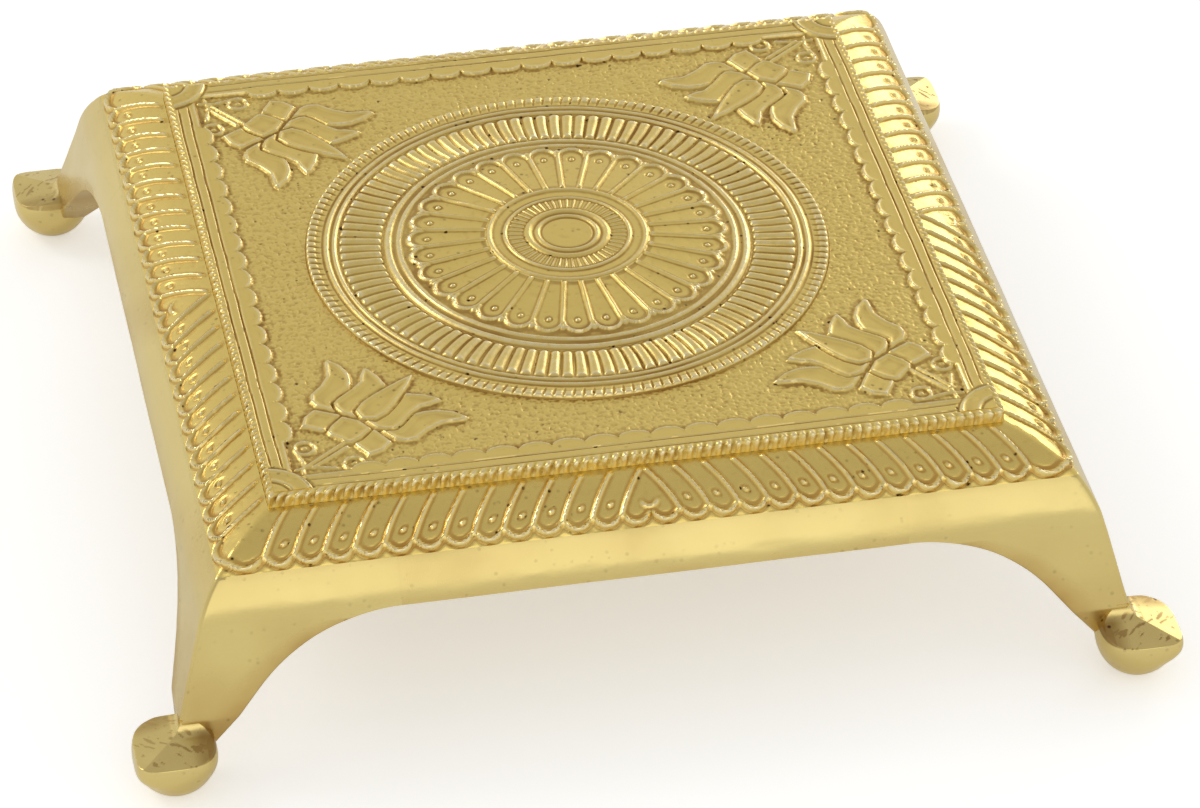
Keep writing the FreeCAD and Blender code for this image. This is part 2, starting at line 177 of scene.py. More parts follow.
def make_piece(name, points, faces, hollow, finish, nodes, lid=False):
    """A mesh from points in millimetres and faces of four, smooth, with its hollows kept for the finish. A
    lid closes every open edge, and the faces are turned outwards again."""
    points = points.reshape(-1, 3)
    mesh = bpy.data.meshes.new(name)
    mesh.vertices.add(len(points))
    mesh.vertices.foreach_set("co", (points * MM).astype(np.float32).ravel())
    mesh.loops.add(faces.size)
    mesh.loops.foreach_set("vertex_index", faces.astype(np.int32).ravel())
    mesh.polygons.add(len(faces))
    mesh.polygons.foreach_set("loop_start", np.arange(0, faces.size, 4, dtype=np.int32))
    attribute = mesh.attributes.new("hollow", "FLOAT", "POINT")
    attribute.data.foreach_set("value", np.clip(hollow, -1, 1).astype(np.float32).ravel())
    mesh.update(calc_edges=True)
    mesh.validate()
    if lid:
        work = bmesh.new()
        work.from_mesh(mesh)
        bmesh.ops.holes_fill(work, edges=[edge for edge in work.edges if edge.is_boundary], sides=0)
        bmesh.ops.recalc_face_normals(work, faces=work.faces)
        work.to_mesh(mesh)
        work.free()
    mesh.shade_smooth()
    mesh.set_sharp_from_angle(angle=SHARP_EDGE)
    piece = add_object(name, mesh)
    mesh.materials.append(finish)
    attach(piece, "root")
    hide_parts(*nodes)


# Finishes.

# Waves in a metre of the clouds, the speckle, the pits and the patches of pits, and the colour of a pit.
CLOUDS, SPECKLE, PIT_CELLS, PIT_PATCHES = 55.0, 900.0, 420.0, 170.0
PIT_TONE = (0.045, 0.016, 0.008, 1)
GRAIN_DEPTH = 0.0002
# The Mix node's colour sockets share their names with its other sockets, so they are taken by place.
FIRST_COLOUR, SECOND_COLOUR, MIXED_COLOUR = 6, 7, 2


def link(tree, source, target):
    """A link between two sockets of a node tree."""
    tree.links.new(source, target)


def node(tree, kind, **values):
    """A new node with these values."""
    made = tree.nodes.new(kind)
    for name, value in values.items():
        setattr(made, name, value)
    return made


def brass_group():
    """Colour, roughness and grain of old cast brass. The hollow attribute darkens and browns the low places
    with patina, and lightens the crests with a pale painted highlight; noise adds mottling, and small pits
    gather where it is hollow."""
    group = bpy.data.node_groups.new("cast_brass_look", "ShaderNodeTree")
    # Tone is the plain brass, Deep its patina, and the pale colour a painted highlight for the crests.
    for way, kind, names in (
        ("INPUT", "NodeSocketColor", ("Tone", "Deep", "Highlight")),
        ("INPUT", "NodeSocketFloat", ("Patina", "Pits", "Polish")),
        ("OUTPUT", "NodeSocketColor", ("Colour",)),
        ("OUTPUT", "NodeSocketFloat", ("Roughness", "Height")),
    ):
        for name in names:
            group.interface.new_socket(name=name, in_out=way, socket_type=kind)
    given = node(group, "NodeGroupInput")
    result = node(group, "NodeGroupOutput")
    place = node(group, "ShaderNodeTexCoord").outputs["Object"]
    hollow = node(group, "ShaderNodeAttribute", attribute_name="hollow").outputs["Fac"]

    def noise(scale, detail):
        """Smooth noise through the piece, 0 to 1."""
        made = node(group, "ShaderNodeTexNoise")
        made.inputs["Scale"].default_value = scale
        made.inputs["Detail"].default_value = detail
        link(group, place, made.inputs["Vector"])
        return made.outputs["Fac"]

    def spread(source, start, end=(0.0, 1.0)):
        """A mask moved from the range start to the range end, and held within it."""
        made = node(group, "ShaderNodeMapRange")
        for name, value in zip(("From Min", "From Max", "To Min", "To Max"), (*start, *end)):
            made.inputs[name].default_value = value
        link(group, source, made.inputs["Value"])
        return made.outputs["Result"]

    def give(socket, source):
        """A plain value, or a link, into a socket."""
        if isinstance(source, (float, tuple)):
            socket.default_value = source
        else:
            link(group, source, socket)

    def reckon(operation, first, second):
        """Two values put together by a Math node."""
        made = node(group, "ShaderNodeMath", operation=operation)
        give(made.inputs[0], first)
        give(made.inputs[1], second)
        return made.outputs[0]

    def times(first, second):
        """One value times the other."""
        return reckon("MULTIPLY", first, second)

    def plus(first, second):
        """One value and the other together."""
        return reckon("ADD", first, second)

    def blend(share, first, second):
        """The first colour turned into the second by that share."""
        made = node(group, "ShaderNodeMix", data_type="RGBA")
        give(made.inputs["Factor"], share)
        give(made.inputs[FIRST_COLOUR], first)
        give(made.inputs[SECOND_COLOUR], second)
        return made.outputs[MIXED_COLOUR]

    clouds = noise(CLOUDS, 3.0)
    speckle = noise(SPECKLE, 2.0)
    low = times(spread(hollow, (0.03, 0.55)), spread(clouds, (0.25, 0.7), (0.5, 1.0)))
    low = times(low, given.outputs["Patina"])
    # Painted highlight: where the hollow is below nought, on crests and rises, the colour turns pale in
    # speckles to stand in for light glinting there. These places are also made smoother.
    crest_highlight = times(spread(hollow, (-0.2, -0.9), (0.0, 0.6)), spread(speckle, (0.3, 0.7), (0.3, 1.0)))
    cells = node(group, "ShaderNodeTexVoronoi")
    cells.inputs["Scale"].default_value = PIT_CELLS
    link(group, place, cells.inputs["Vector"])
    patches = spread(noise(PIT_PATCHES, 1.0), (0.52, 0.60))
    spots = times(spread(cells.outputs["Distance"], (0.26, 0.14)), patches)
    spots = times(times(spots, given.outputs["Pits"]), spread(hollow, (-0.1, 0.3)))
    cloudy = spread(clouds, (0.35, 0.72), (0.0, 0.3))
    mild = blend(cloudy, given.outputs["Tone"], given.outputs["Deep"])
    shade = blend(low, given.outputs["Tone"], given.outputs["Deep"])
    shade = blend(times(spread(hollow, (0.0, 0.3)), 0.35), shade, mild)
    # The pale painted highlight goes over the patina and the mottling.
    shade = blend(crest_highlight, shade, given.outputs["Highlight"])
    shade = blend(spots, shade, PIT_TONE)
    link(group, shade, result.inputs["Colour"])
    rough = plus(given.outputs["Polish"], spread(clouds, (0.3, 0.7), (-0.04, 0.06)))
    rough = plus(rough, times(low, 0.22))
    rough = plus(rough, times(crest_highlight, -0.12))
    link(group, rough, result.inputs["Roughness"])
    grain = plus(times(speckle, 0.6), times(spots, -1.6))
    link(group, grain, result.inputs["Height"])
    return group


CAST_LOOK = brass_group()


def brass(name, tone, deep, pale, patina, pits, polish, grain):
    """A brass finish: the shared look with this piece's own colours and polish, and its grain as relief."""
    made = bpy.data.materials.new(name)
    made.use_nodes = True
    tree = made.node_tree
    shader = tree.nodes["Principled BSDF"]
    look = node(tree, "ShaderNodeGroup", node_tree=CAST_LOOK)
    for socket, value in (
        ("Tone", (*tone, 1)),
        ("Deep", (*deep, 1)),
        ("Highlight", (*pale, 1)),
        ("Patina", patina),
        ("Pits", pits),
        ("Polish", polish),
    ):
        look.inputs[socket].default_value = value
    shader.inputs["Metallic"].default_value = 1.0
    relief = node(tree, "ShaderNodeBump")
    relief.inputs["Strength"].default_value = grain
    relief.inputs["Distance"].default_value = GRAIN_DEPTH
    link(tree, look.outputs["Colour"], shader.inputs["Base Color"])
    link(tree, look.outputs["Roughness"], shader.inputs["Roughness"])
    link(tree, look.outputs["Height"], relief.inputs["Height"])
    link(tree, relief.outputs["Normal"], shader.inputs["Normal"])
    return made


# Each finish's pale colour is the painted highlight on its crests.
panel_brass = brass("carved_panel_finish", tone=(0.78, 0.59, 0.18), deep=(0.24, 0.09, 0.015),
                    pale=(0.96, 0.90, 0.70), patina=1.0, pits=1.0, polish=0.33, grain=0.30)
leaf_brass = brass("leaf_border_finish", tone=(0.82, 0.62, 0.19), deep=(0.40, 0.16, 0.02),
                   pale=(0.97, 0.90, 0.68), patina=0.9, pits=1.0, polish=0.23, grain=0.2)
skin_brass = brass("polished_skirt_finish", tone=(0.76, 0.61, 0.24), deep=(0.40, 0.20, 0.04),
                   pale=(0.95, 0.91, 0.74), patina=1.0, pits=0.3, polish=0.20, grain=0.1)
foot_brass = brass("foot_finish", tone=(0.77, 0.61, 0.24), deep=(0.22, 0.09, 0.015),
                   pale=(0.93, 0.88, 0.70), patina=1.0, pits=0.8, polish=0.20, grain=0.1)


# The carved panel.

# Radius and height above the flat, from the middle disc out to the notched ring.
DOME = np.array([
    (0.0, 2.86), (5.9, 2.90), (6.4, 2.72), (6.8, 2.90), (7.3, 3.25), (7.9, 3.00), (8.4, 2.72), (8.9, 2.90),
    (9.7, 3.28), (10.5, 3.00), (10.9, 2.68), (14.9, 2.66), (15.1, 2.85), (15.5, 3.10), (15.9, 2.85),
    (16.2, 2.58), (18.5, 2.58), (18.9, 2.75), (19.4, 3.02), (19.9, 2.80), (20.4, 2.42), (41.0, 0.90),
    (41.4, 1.02), (41.9, 1.24), (42.4, 0.95), (42.9, 0.48), (43.6, 0.50), (44.0, 0.75), (44.5, 0.98),
    (45.2, 0.60), (45.9, 0.05), (57.0, 0.05), (57.4, 0.38), (57.9, 0.74), (58.4, 0.45), (58.8, 0.20),
    (59.3, 0.42), (59.8, 0.74), (60.4, 0.42), (60.9, 0.14), (61.3, 0.30), (64.4, 0.42), (64.9, 0.20),
    (65.1, -0.50), (67.0, -0.60),
])
PETALS, FLUTES, NOTCHES, HATCHES = 31, 104, 166, 50
PETAL_TURN, FLUTE_TURN, HATCH_TURN = math.radians(1.6), math.radians(1.0), 0.3
# A petal's rounded end: the circle's radius, and how far out its middle, the bead and the cusp lie.
END_RADIUS, END_AT, BEAD_AT, CUSP_AT = 3.55, 36.15, 34.9, 38.4
FLUTE_MIDDLE, FLUTE_HALF = 51.5, 5.5
# Nothing rises further over the flat than the solid does.
HIGHEST = 3.29


def cell(angle, count, turn):
    """The place in a cell repeated round the circle, -0.5 to 0.5, with the cell's edge at the turn."""
    return (((angle - turn) * count / TURN) % 1.0) - 0.5


def petal_relief(radius, angle):
    """Petals: along each dividing line a raised bar with a crevice beside it, two bumps side by side. An
    outer end has a rim on a circle, with a bead in a dimple before it, and a cusp stands between two ends."""
    share = cell(angle, PETALS, PETAL_TURN)
    half = radius * math.pi / PETALS
    aside = share * 2 * half
    edge = np.where(share > 0, aside - half, aside + half)
    body = ease(radius, 20.2, 20.9) * (1 - ease(radius, 37.0, 38.6))
    ribs = 0.58 * bump(edge + 0.20, 1.0) - 0.30 * bump(edge - 0.98, 0.48) - 0.10 * bump(edge + 1.25, 0.5)
    away = np.hypot(aside, radius - END_AT)
    outer = ease(radius, END_AT - 1.2, END_AT + 0.4)
    rim = 0.62 * bump(away - END_RADIUS + 0.15, 0.72) * outer
    cusp = 0.60 * bump(np.hypot(edge, radius - CUSP_AT), 1.15)
    beyond = -0.10 * ease(away, END_RADIUS + 0.3, END_RADIUS + 0.9) * ease(radius, 37.5, 38.5)
    bead = np.hypot(aside, radius - BEAD_AT)
    beads = 0.40 * bump(bead, 0.80) - 0.16 * bump(bead - 0.85, 0.55)
    dish = -0.10 * (1 - (share * 2) ** 2) * body
    return np.maximum(ribs * body, rim) + cusp + beyond + beads + dish


def flute_relief(radius, angle):
    """Flutes: a rounded bar per cell with a crevice between bars, bowed a little along its length."""
    bow = 0.010 * (1 - ((radius - FLUTE_MIDDLE) / FLUTE_HALF) ** 2) * np.sin(angle * 2 + 0.6)
    share = cell(angle + bow, FLUTES, FLUTE_TURN) * 2
    ends = ease(radius, 46.1, 46.9) * (1 - ease(radius, 56.0, 56.9))
    bar = np.clip(1 - (share + 0.08) ** 2 / 0.72, 0, None) ** 0.8
    return (0.66 * bar - 0.16 * bump(np.abs(share) - 1, 0.22)) * ends


def notch_relief(radius, angle):
    """The notched ring: thin cuts across it, deeper through the rounded outer row of beads."""
    share = np.abs(cell(angle + 0.005 * (radius - 63) / 2, NOTCHES, 0.0)) * 2
    outer = ease(radius, 62.4, 63.0) * (1 - ease(radius, 64.6, 65.0))
    inner = ease(radius, 61.2, 61.6) * (1 - ease(radius, 62.4, 63.0))
    return outer * (0.26 - 0.44 * ease(share, 0.45, 1.0)) - inner * 0.16 * ease(share, 0.55, 1.0)


def hatch_relief(radius, angle):
    """The hatched ring: thin raised strokes from ridge to ridge."""
    share = cell(angle + 0.02 * np.sin(3 * angle), HATCHES, HATCH_TURN) * 2
    return 0.28 * bump(share, 0.46) * ease(radius, 10.8, 11.3) * (1 - ease(radius, 14.4, 15.0))


def mandala_height(radius, angle):
    """The dome's profile, softened by a weighted mean over the radii nearby, plus each ring's own relief and
    the unevenness of the casting."""
    x, y = radius * np.cos(angle), radius * np.sin(angle)
    nearby = np.linspace(-0.24, 0.24, 7)
    weights = np.exp(-(nearby / 0.14) ** 2)
    wobble = 0.10 * mottle(x, y, 9.0, 11)
    level = sum(weight * np.interp(radius + wobble + offset, DOME[:, 0], DOME[:, 1])
                for offset, weight in zip(nearby, weights)) / weights.sum()
    relief = (petal_relief(radius, angle) + flute_relief(radius, angle)
              + notch_relief(radius, angle) + hatch_relief(radius, angle))
    uneven = 0.035 * mottle(x, y, 3.0, 5) + 0.02 * mottle(x, y, 1.1, 6)
    return np.minimum(level + relief * (1 + 0.18 * mottle(x, y, 4.0, 7)) + uneven, HIGHEST)


def ring_piece(name, radii, count):
    """A closed washer: the mandala's height over rings of the given radii, with walls and a floor below. One
    that starts at the middle has an outer wall alone, and lids close its middle and its floor."""
    angle = np.linspace(0, TURN, count, endpoint=False)[:, None]
    top = mandala_height(radii[None, :], angle)
    hollow = hollowness(top, (-3, -1, 1, 3), (True, False)) * 5.0
    radius = np.broadcast_to(radii, top.shape)
    low = np.full((count, 1), WALL_FOOT - FLAT)
    plain = np.zeros((count, 1))
    cap = bool(radii[0] == 0)
    if cap:
        radius = np.hstack([radius[:, 1:], radius[:, -1:]])
        height = np.hstack([top[:, 1:], low])
        hollow = np.hstack([hollow[:, 1:], plain])
    else:
        radius = np.hstack([radius, radius[:, -1:], radius[:, :1]])
        height = np.hstack([top, low, low])
        hollow = np.hstack([hollow, plain, plain])
    points = np.stack([radius * np.cos(angle), radius * np.sin(angle), FLAT + height], -1)
    faces = quads(*height.shape, True, not cap)
    make_piece(name, points, faces[:, ::-1], hollow, panel_brass, ["top_panel"], lid=cap)


# Radii of the rings of points. Each piece starts a little inside the end of the one before it.
MIDDLE_RADII = np.concatenate([[0.0], np.linspace(0.6, 5.4, 10), np.linspace(5.7, 20.3, 74)])
PETAL_RADII = np.linspace(20.2, 45.9, 66)
FLUTE_RADII = np.linspace(45.8, 57.1, 32)
NOTCH_RADII = np.concatenate([np.linspace(57.0, 65.0, 34), [65.1, 65.2]])
ring_piece("mandala_middle", MIDDLE_RADII, 608)
ring_piece("mandala_petals", PETAL_RADII, PETALS * 44)
ring_piece("mandala_flutes", FLUTE_RADII, FLUTES * 14)
ring_piece("mandala_notched_ring", NOTCH_RADII, NOTCHES * 9)

# Lotus in the front left corner: outlines of its petals and sepals, in millimetres across and along, read
# from the middle outwards. The far half is the mirror image about the corner's diagonal.
LOTUS_OUTER = ((-66.6, -37.2), (-63.7, -40.4), (-62.3, -44.0), (-62.3, -47.2), (-63.0, -50.4), (-66.6, -53.3),
               (-68.2, -55.1), (-68.0, -57.2), (-67.4, -58.8), (-68.4, -58.6), (-72.3, -55.8), (-73.4, -53.6),
               (-73.0, -50.8), (-70.1, -47.6), (-68.0, -44.0), (-67.6, -38.3))
LOTUS_INNER = ((-58.7, -42.2), (-57.3, -43.3), (-55.5, -46.5), (-54.4, -50.1), (-54.1, -53.3), (-54.6, -54.7),
               (-57.6, -55.4), (-60.9, -57.2), (-62.6, -59.7), (-62.8, -62.4), (-66.9, -59.5), (-68.0, -57.2),
               (-68.2, -55.1), (-66.6, -53.3), (-63.0, -50.4), (-60.5, -47.6), (-60.1, -45.4))
MIDDLE_HALF = ((-46.9, -46.9), (-48.9, -51.1), (-51.2, -54.8), (-53.6, -58.4), (-56.2, -61.6), (-59.2, -63.6),
               (-62.6, -62.6))
LOTUS_MIDDLE = MIDDLE_HALF + tuple((along, across) for across, along in MIDDLE_HALF[-2:0:-1])
SEPAL_SIDE = ((-73.0, -56.7), (-75.9, -59.3), (-77.3, -63.3), (-76.6, -63.3), (-73.7, -65.1), (-70.1, -66.8),
              (-69.1, -66.1), (-68.4, -63.6), (-66.9, -60.1))
SEPAL_MIDDLE = ((-66.9, -60.6), (-63.0, -63.0), (-60.6, -66.9), (-63.8, -70.1), (-66.2, -71.6),
                (-67.6, -70.9), (-69.2, -69.2), (-70.9, -67.6), (-71.6, -66.2), (-70.1, -63.8))
STEM_BARS = (((-68.0, -70.8), (-78.0, -78.3)), ((-67.6, -72.6), (-76.6, -79.0)))
# Tendrils are rings round a bead, each with its middle and radius. Sprigs are fine bent lines beside them.
TENDRILS = (((-77.6, -71.1), 2.4), ((-66.9, -79.0), 2.4))
SPRIGS = (((-80.0, -71.5), (-78.6, -77.0), (-79.3, -81.0)),
          ((-71.5, -80.0), (-77.0, -78.6), (-81.0, -79.3)))
# The quarter disc in the panel's corner, and the arc engraved in it.
DISC_RADIUS, DISC_ARC = 11.0, 6.5


def to_outline(x, y, outline, closed=True):
    """Distance to an outline, positive inside: the nearest of its straight runs, and even-odd crossings."""
    points = np.array(outline)
    after = np.roll(points, -1, axis=0) if closed else points[1:]
    points = points if closed else points[:-1]
    nearest = np.full(x.shape, 1e9)
    inside = np.zeros(x.shape, bool)
    for (ax, ay), (bx, by) in zip(points, after):
        dx, dy = bx - ax, by - ay
        share = np.clip(((x - ax) * dx + (y - ay) * dy) / (dx * dx + dy * dy), 0, 1)
        nearest = np.minimum(nearest, np.hypot(x - ax - share * dx, y - ay - share * dy))
        if closed and dy != 0:
            inside ^= ((ay > y) != (by > y)) & (x < ax + (y - ay) * dx / dy)
    return np.where(inside, nearest, -nearest) if closed else nearest


def lotus_height(x, y):
    """The lotus above the ground, 0 to about 1: each petal is a plateau with a ridge just inside its edge,
    and the petals behind it sink to a groove around it."""
    best = np.zeros_like(x)
    pairs = []
    for outline in (LOTUS_OUTER, LOTUS_INNER, SEPAL_SIDE):
        pairs += [outline, [(b, a) for a, b in outline]]
    for outline in (*pairs[:4], LOTUS_MIDDLE, *pairs[4:], SEPAL_MIDDLE):
        inward = to_outline(x, y, outline)
        petal = 0.62 * ease(inward, -0.35, 0.50) + 0.24 * bump(inward - 0.55, 0.70)
        petal = petal - 0.12 * ease(inward, 0.8, 3.0)
        best = np.maximum(best * (1 - 0.8 * ease(inward, -0.9, -0.2)), petal)
    for bar in STEM_BARS:
        best = np.maximum(best, 0.72 * bump(to_outline(x, y, bar, False), 0.85))
    for (cx, cy), radius in TENDRILS:
        away = np.hypot(x - cx, y - cy)
        best = np.maximum(best, 0.62 * bump(away - radius, 0.70) + 0.40 * bump(away, 1.0))
    for line in SPRIGS:
        best = np.maximum(best, 0.55 * bump(to_outline(x, y, line, False), 0.75))
    return best


# The ground's level over the flat, and the scalloped edge: how far in its cusps stand, how much further its
# lobes reach, their count on a side, and half the length that they take.
GROUND, CUSP_INSET, LOBE, SCALLOPS, SCALLOP_HALF = -0.60, 7.1, 2.6, 17, 68.0
# The two engraved lines, by their distance from the middle.
GROOVES = (84.0, 86.6)


def panel_height(x, y):
    """The ground, its scalloped edge, a lotus and a quarter disc, for the front left quarter, where x and y
    are below 0. A scallop is a half circle's height over its place in a cell along the side."""
    base = np.full(x.shape, GROUND)
    away = np.hypot(x + PANEL, y + PANEL)
    for along, inset in ((x, y + PANEL), (y, x + PANEL)):
        place = ((along + SCALLOP_HALF) / (2 * SCALLOP_HALF) * SCALLOPS) % 1.0 * 2 - 1
        lobe = np.sqrt(np.clip(1 - place ** 2, 0, 1)) * (np.abs(along) < SCALLOP_HALF)
        over = CUSP_INSET + LOBE * lobe - inset
        base = np.maximum(base, GROUND - GROUND * ease(over, -0.30, 0.25) + 0.16 * bump(over - 0.35, 0.55))
    base = base + lotus_height(x, y) * 0.95 * (base < -0.3)
    for middle in GROOVES:
        for along, side in ((x, -y), (y, -x)):
            drift = 0.22 * mottle(along, along * 0 + middle, 24.0, 31)
            drift = drift + 0.10 * mottle(along, along * 0, 7.0, 32)
            line = bump(side - middle - drift, 0.42) * ease(away, DISC_RADIUS, DISC_RADIUS + 3.0)
            base = base - 0.42 * line * (np.abs(along) < side)
    disc = 0.22 * ease(away, DISC_RADIUS + 0.2, DISC_RADIUS - 0.5)
    disc = disc + 0.26 * bump(away - DISC_RADIUS + 0.5, 0.7) - 0.30 * bump(away - DISC_RADIUS - 0.35, 0.5)
    disc = disc + 0.20 * bump(away - DISC_ARC, 0.6) - 0.26 * bump(away - DISC_ARC + 0.8, 0.5)
    near = ease(away, DISC_RADIUS + 1.0, DISC_RADIUS + 0.2)
    return base * (1 - near) + near * disc


def stipple(x, y, height):
    """Punched grains on the low ground only: the crests of two sizes of noise."""
    grains = 0.11 * mottle(x, y, 0.62, 21) + 0.09 * mottle(x, y, 0.41, 22)
    return grains * ease(height, -0.25, -0.50)


def turned(x, y, quarter):
    """Quarter turns of the front left quarter, counter-clockwise seen from above."""
    for _ in range(quarter):
        x, y = -y, x
    return x, y


# The ground ends where the grooved band begins, and where the mandala's notched ring covers it.
BAND_IN, BAND_OUT, MANDALA_EDGE = 83.1, 87.3, 64.75
QUARTER_COUNT = 276
QUARTERS = ("front_left", "front_right", "back_right", "back_left")


def ground_pieces():
    """The sunk ground in four quarters: a square grid cut off where the mandala begins, each with a stipple
    of its own, walls down from its open edges, and a lid as its floor."""
    line = np.linspace(-BAND_IN, 0, QUARTER_COUNT)
    gx, gy = np.meshgrid(line, line, indexing="ij")
    quarter_height = panel_height(gx, gy)
    kept = np.hypot(gx, gy) > MANDALA_EDGE
    kept_faces = quads(QUARTER_COUNT, QUARTER_COUNT, False, False)
    kept_faces = kept_faces[kept.ravel()[kept_faces].all(1)]
    used, faces = np.unique(kept_faces, return_inverse=True)
    faces = faces.reshape(-1, 4)
    edges = np.concatenate([faces[:, [0, 1]], faces[:, [1, 2]], faces[:, [2, 3]], faces[:, [3, 0]]])
    code = np.sort(edges, 1) @ np.array([len(used), 1])
    codes, counts = np.unique(code, return_counts=True)
    rim_edges = edges[np.isin(code, codes[counts == 1])]
    rim_points, rim_index = np.unique(rim_edges, return_inverse=True)
    rim_index = rim_index.reshape(-1, 2) + len(used)
    walls = np.stack([rim_edges[:, 1], rim_edges[:, 0], rim_index[:, 0], rim_index[:, 1]], -1)
    for quarter, corner in enumerate(QUARTERS):
        wx, wy = turned(gx, gy, quarter)
        height = quarter_height + stipple(wx, wy, quarter_height) + 0.04 * mottle(wx, wy, 3.0, 5)
        hollow = hollowness(height, (-4, -2, 2, 4), (False, False)) * 2.2
        hollow = np.concatenate([hollow.ravel()[used], np.zeros(len(rim_points))])
        top = np.stack([wx, wy, FLAT + height], -1).reshape(-1, 3)[used]
        below = top[rim_points] * [1, 1, 0] + [0, 0, WALL_FOOT]
        make_piece("ground_" + corner, np.vstack([top, below]), np.vstack([faces, walls]), hollow,
                   panel_brass, ["top_panel"], lid=True)


ground_pieces()


def band_piece():
    """The grooved band outside the ground: the panel's height on a square path, with walls and a floor. Each
    side is turned to the front before the height is read."""
    path = square_path(396, 0, 0.0)
    halves = np.concatenate([np.linspace(BAND_IN - 0.05, BAND_OUT, 26), [BAND_OUT, BAND_IN - 0.05]])
    half = np.broadcast_to(halves, (len(path.places), len(halves)))
    points = round_square(path, half, half * 0)
    side = path.sides[:, None]
    x, y = points[..., 0], points[..., 1]
    ux, uy = x * 0, y * 0
    for turn in range(4):
        c, s = quarter_turns(turn)
        ux = np.where(side == turn, x * c + y * s, ux)
        uy = np.where(side == turn, -x * s + y * c, uy)
    height = panel_height(-np.abs(ux), -np.abs(uy)) + 0.04 * mottle(x, y, 3.0, 5)
    hollow = hollowness(height[:, :-2], (-3, -1, 1, 3), (True, False)) * 4.5
    hollow = np.hstack([hollow, hollow[:, :2] * 0])
    points[..., 2] = FLAT + height
    points[:, -2:, 2] = WALL_FOOT
    faces = quads(*height.shape, True, True)
    make_piece("grooved_band", points, faces[:, ::-1], hollow, panel_brass, ["top_panel"])


band_piece()

ROPE_NOTCHES, POINTS_A_NOTCH = 77, 9
# The rope's section: half the width, the level over the flat, and the share of a notch's depth there.
ROPE_SECTION = np.array([
    (87.2, 0.02, 0.0), (87.4, 0.06, 0.15), (87.7, 0.10, 0.4), (88.0, 0.08, 0.7), (88.3, 0.02, 1.0),
    (88.6, -0.12, 1.0), (88.8, -0.35, 1.0), (88.92, -0.7, 1.0), (88.96, -1.2, 1.0), (88.97, -1.8, 0.9),
    (88.98, -2.4, 0.6), (88.99, -3.0, 0.2), (88.99, -3.6, 0.0), (88.9, -4.4, 0.0), (87.2, -4.4, 0.0),
])


def rope_piece():
    """The rope edge: slanted notches repeated along each side, cut over the corner and down the side face.
    The section is moved along its normal, out by a low rise between notches and in by the cut."""
    path = square_path(ROPE_NOTCHES * POINTS_A_NOTCH + 1, 3, 0.5)
    profile, depth = ROPE_SECTION[:, :2], ROPE_SECTION[None, :, 2]
    side = path.sides[:, None]
    length = path.places[:, None] * PANEL
    slant = np.linspace(0, 0.42, len(profile))[None, :]
    uneven = 0.12 * mottle(length, side * 40.0, 9.0, 41)
    share = np.abs((length / (2 * PANEL) * ROPE_NOTCHES + slant + uneven) % 1.0 - 0.5) * 2
    grains = mottle(length, side * 90.0 + np.arange(len(profile)) * 0.5, 0.55, 43)
    grains = 0.14 * grains * (depth > 0.6)
    cut = ease(share, 0.22, 0.85) * depth * (0.44 + 0.26 * mottle(length, side * 17.0, 2.6, 42)) + grains
    rise = 0.10 * depth * (1 - share)
    normal = outward(profile)
    half = np.minimum(profile[:, 0] + normal[:, 0] * (rise - cut), PANEL)
    height = profile[:, 1] + normal[:, 1] * (rise - cut)
    # The cuts take patina. A negative hollow paints a pale highlight on the rises between notches, and
    # faintly over the whole rope.
    hollow = (cut * 1.3 - rise * 9.0 - 0.18) * (depth > 0)
    faces = quads(*half.shape, True, True)
    make_piece("rope_edge", round_square(path, half, FLAT + height), faces[:, ::-1], hollow,
               panel_brass, ["top_panel"])


rope_piece()


def back_plate():
    """The plate's plain underside: a thin square slab with softly rounded edges, closed by lids."""
    path = square_path(60, 4, 0.8)
    profile = np.array([(87.0, 56.0), (88.6, 56.0), (88.9, 55.7), (88.9, 55.3), (88.6, 55.0), (60.0, 55.0),
                        (30.0, 55.0), (4.0, 55.0)])
    half = np.broadcast_to(profile[:, 0], (len(path.places), len(profile)))
    height = np.broadcast_to(profile[:, 1], half.shape)
    faces = quads(*half.shape, True, False)
    make_piece("plate_underside", round_square(path, half, height), faces[:, ::-1], half * 0,
               skin_brass, ["top_panel"], lid=True)


back_plate()


# The border of leaves.

# A leaf's width, how many of that width stand in half a side, the last leaf's width and how its circle is
# stretched, and how far a rib's top leans outwards.
LEAF, LEAVES, WIDE_LEAF, WIDE_STRETCH, LEAN = 7.15, 13, 9.6, 0.76, 6.6
# Ways down from the rim of the border: to the ends of a rib, a bead, the curl at the side's middle, and the
# tip of a leaf. The last value is the radius of a leaf's circle.
RIB_TOP, RIB_END, BEAD_DROP, CURL_DROP, LEAF_TIP, LEAF_RING = 1.2, 13.6, 10.1, 9.6, 16.1, 3.65
POINTS_A_LEAF = 20
SKIRT = arc(HEM, ARCH_TOP, 25.0, 60)
SEAM_HALF = float(np.interp(-SEAM, -SKIRT[:, 1], SKIRT[:, 0]))
# The ledge under the panel, from the seam inwards and up to the rim.
LEDGE = np.array([(87.5, SEAM), (84.0, 50.8), (84.0, 54.95), (RIM[0], 54.95)])


